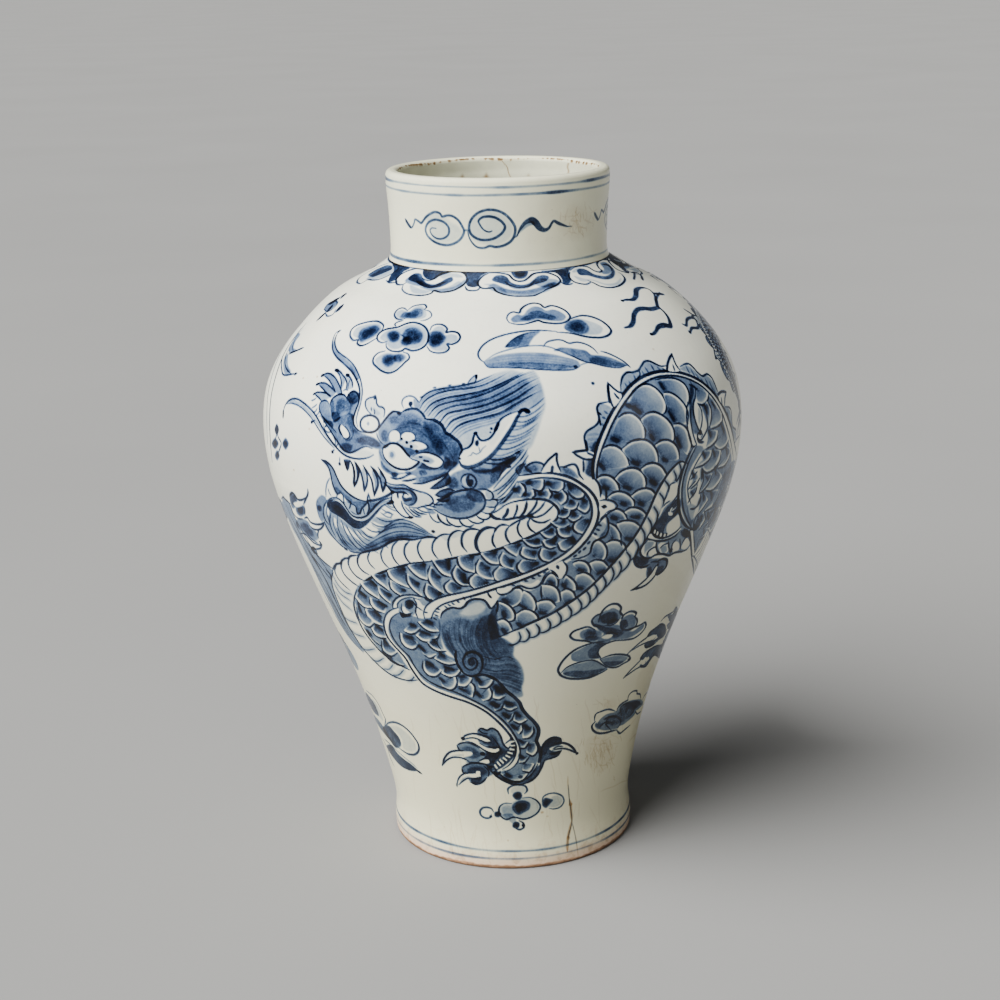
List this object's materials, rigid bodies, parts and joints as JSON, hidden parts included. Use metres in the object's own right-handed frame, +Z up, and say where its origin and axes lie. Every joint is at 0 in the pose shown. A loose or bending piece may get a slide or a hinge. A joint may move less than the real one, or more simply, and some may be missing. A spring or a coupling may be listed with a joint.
{
  "type": "porcelain storage jar",
  "caption": "Tall-shouldered porcelain jar with a narrow turned foot, wide shoulder and upright neck, painted in underglaze blue.",
  "frame": {"origin": "centre of the foot, on the surface that the jar stands on", "axes": "+Z up along the axis of turning; the side seen in the picture faces -Y, and the picture's right is +X"},
  "size_m": [0.382, 0.382, 0.55],
  "materials": {
    "glazed_lower_bowl": "satin-gloss off-white glaze over porcelain, with blue painting under the glaze; bare and toasted at the foot",
    "glazed_upper_bowl": "satin-gloss off-white glaze over porcelain, with blue painting under the glaze",
    "glazed_neck": "satin-gloss off-white glaze over porcelain, worn and stained along the lip",
    "luting_clay": "thinly glazed, finger-smeared porcelain clay"
  },
  "bodies": {
    "root": {"lower_bowl": "glazed_lower_bowl", "upper_bowl": "glazed_upper_bowl", "neck": "glazed_neck", "belly_luting_band": "luting_clay", "neck_luting_band": "luting_clay"}
  },
  "joints": []
}
